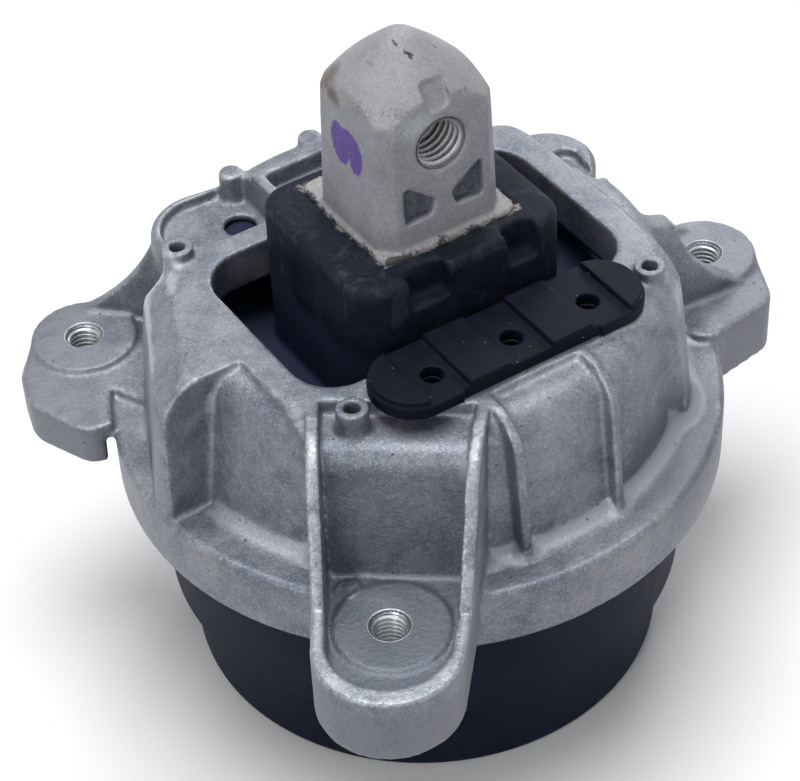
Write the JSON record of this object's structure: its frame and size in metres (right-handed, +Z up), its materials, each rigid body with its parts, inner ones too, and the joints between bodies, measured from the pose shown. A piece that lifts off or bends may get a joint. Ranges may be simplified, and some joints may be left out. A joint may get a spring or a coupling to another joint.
{
  "type": "hydraulic engine mount",
  "caption": "Hydraulic engine mount: die-cast housing with threaded feet, rubber-sprung post with a threaded bore, rubber stop pad and a round can below.",
  "frame": {"origin": "on the axis of the round can, at its flat base", "axes": "+Z up along the mount's axis towards the post; the post's threaded bore opens towards -Y; +X along the stop pad, to the right of someone who looks into the bore"},
  "size_m": [0.1701, 0.158, 0.1672],
  "materials": {
    "cast_housing": "as die cast, satin, worn at the edges",
    "cast_core": "cast and blasted, matte",
    "spring_rubber": "matte moulded rubber",
    "pad_rubber": "matte moulded rubber",
    "inner_rubber": "matte rubber",
    "ring_steel": "plain steel",
    "plate_aluminium": "machined",
    "can_plastic": "matte black"
  },
  "bodies": {
    "root": {"housing": "cast_housing", "core_post": "cast_core", "main_spring": "spring_rubber", "spring_ring": "ring_steel", "stop_pad": "pad_rubber", "upper_channel_plate": "plate_aluminium", "lower_channel_plate": "plate_aluminium", "decoupler_membrane": "inner_rubber", "bellows": "inner_rubber", "bellows_ring": "ring_steel", "can_seal": "inner_rubber", "base_can": "can_plastic"}
  },
  "joints": []
}
